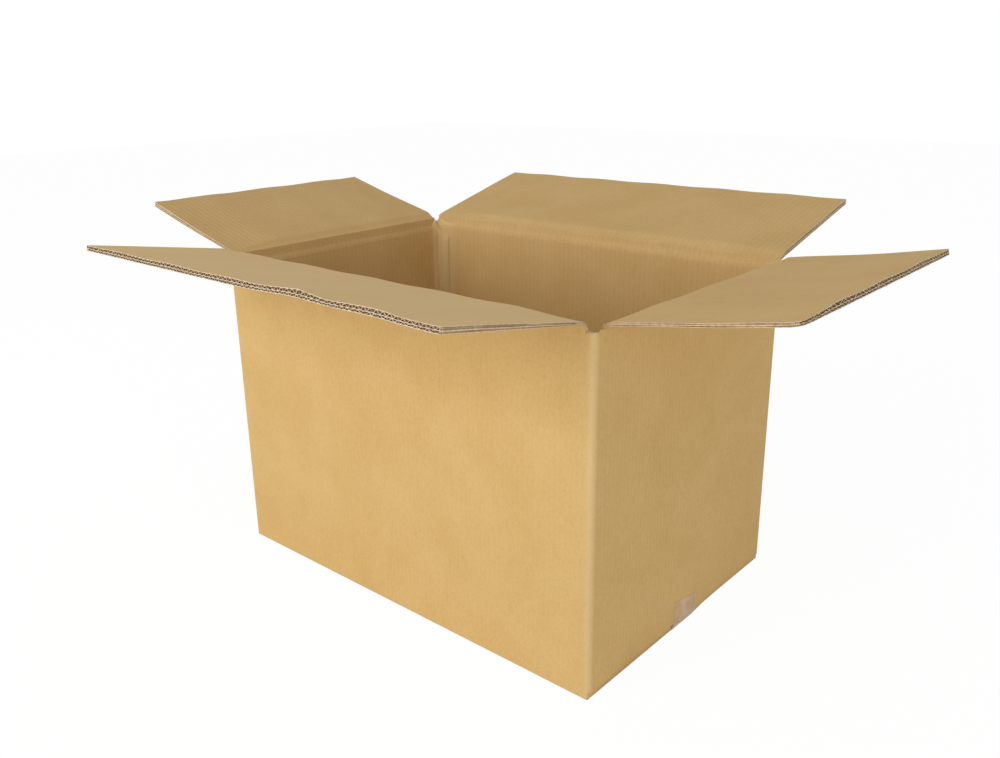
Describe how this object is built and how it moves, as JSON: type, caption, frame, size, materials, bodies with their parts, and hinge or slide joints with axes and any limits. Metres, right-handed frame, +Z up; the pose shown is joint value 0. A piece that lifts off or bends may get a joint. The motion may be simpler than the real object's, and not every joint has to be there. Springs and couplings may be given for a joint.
{
  "type": "double wall shipping box",
  "caption": "Open double wall corrugated shipping box with hinged top flaps that fold shut or right back, a glued corner lap and a taped bottom.",
  "frame": {"origin": "on the floor, under the middle of the box", "axes": "+Z up, X along the box's length with the taped-up end that shows at +X, Y across it with the front wall at -Y"},
  "size_m": [0.9426, 0.7507, 0.4511],
  "materials": {
    "kraft_board": "matt brown kraft liner with faint mottling and flute lines",
    "flap_board": "matt brown kraft liner, pale raw edges that show both flutes",
    "tape": "thin translucent packing tape that shows the board through it"
  },
  "bodies": {
    "carton": {"carton_body": "kraft_board", "bottom_tape": "tape"},
    "front_flap": {"front_flap": "flap_board"},
    "back_flap": {"back_flap": "flap_board"},
    "right_flap": {"right_flap": "flap_board"},
    "left_flap": {"left_flap": "flap_board"}
  },
  "joints": [
    {"name": "front_crease", "type": "hinge", "parent": "carton", "child": "front_flap", "pos_m": [0, -0.19015, 0.4], "axis": [1, 0, 0], "range_deg": [-170.2, 99.8]},
    {"name": "back_crease", "type": "hinge", "parent": "carton", "child": "back_flap", "pos_m": [0, 0.19015, 0.4], "axis": [-1, 0, 0], "range_deg": [-166.5, 103.5]},
    {"name": "right_crease", "type": "hinge", "parent": "carton", "child": "right_flap", "pos_m": [0.28715, 0, 0.3927], "axis": [0, 1, 0], "range_deg": [-169, 101]},
    {"name": "left_crease", "type": "hinge", "parent": "carton", "child": "left_flap", "pos_m": [-0.28715, 0, 0.3927], "axis": [0, -1, 0], "range_deg": [-164.7, 105.3]}
  ]
}
